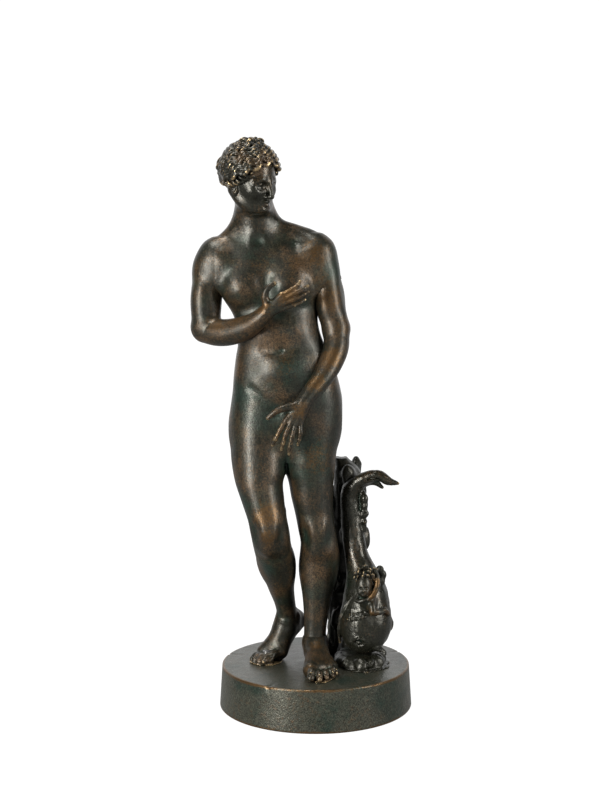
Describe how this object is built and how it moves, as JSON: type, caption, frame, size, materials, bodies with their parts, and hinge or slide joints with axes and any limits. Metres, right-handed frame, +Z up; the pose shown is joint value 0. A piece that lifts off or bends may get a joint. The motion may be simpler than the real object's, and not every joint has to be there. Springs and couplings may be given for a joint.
{
  "type": "bronze statuette",
  "caption": "Standing classical nude after the antique beside a dolphin with a small cupid, cast in patinated bronze on a hollow round plinth, for display on a shelf or desk.",
  "frame": {"origin": "centre of the round plinth's foot ring, on the plane that the statuette rests on", "axes": "+Z up; the figure faces -Y; +X is towards the figure's own left hand, the side of the dolphin"},
  "size_m": [0.1136, 0.1, 0.2943],
  "materials": {
    "plinth": "dark green-brown patina, worn to metal on both rims",
    "figure_bronze": "dark olive-brown patina rubbed through to orange-brown and gold on high places",
    "rock_bronze": "dark matt brown patina with green in the hollows",
    "dolphin_bronze": "dark brown patina with worn edges",
    "cupid_bronze": "brown patina rubbed to brass on its high places",
    "joint_pins": "drawn bronze, left as cut",
    "steel_fasteners": "plain steel, dull"
  },
  "bodies": {
    "root": {"plinth": "plinth", "figure_body": "figure_bronze", "head": "figure_bronze", "right_arm": "figure_bronze", "left_arm": "figure_bronze", "left_foot": "figure_bronze", "rock_support": "rock_bronze", "dolphin": "dolphin_bronze", "cupid": "cupid_bronze", "dolphin_dowel": "joint_pins", "cupid_dowel": "joint_pins", "neck_pin": "joint_pins", "right_arm_pin": "joint_pins", "left_arm_pin": "joint_pins", "ankle_pin": "joint_pins", "left_foot_stud": "steel_fasteners", "left_foot_washer": "steel_fasteners", "left_foot_nut": "steel_fasteners", "right_foot_stud": "steel_fasteners", "right_foot_washer": "steel_fasteners", "right_foot_nut": "steel_fasteners", "support_stud": "steel_fasteners", "support_washer": "steel_fasteners", "support_nut": "steel_fasteners"}
  },
  "joints": []
}
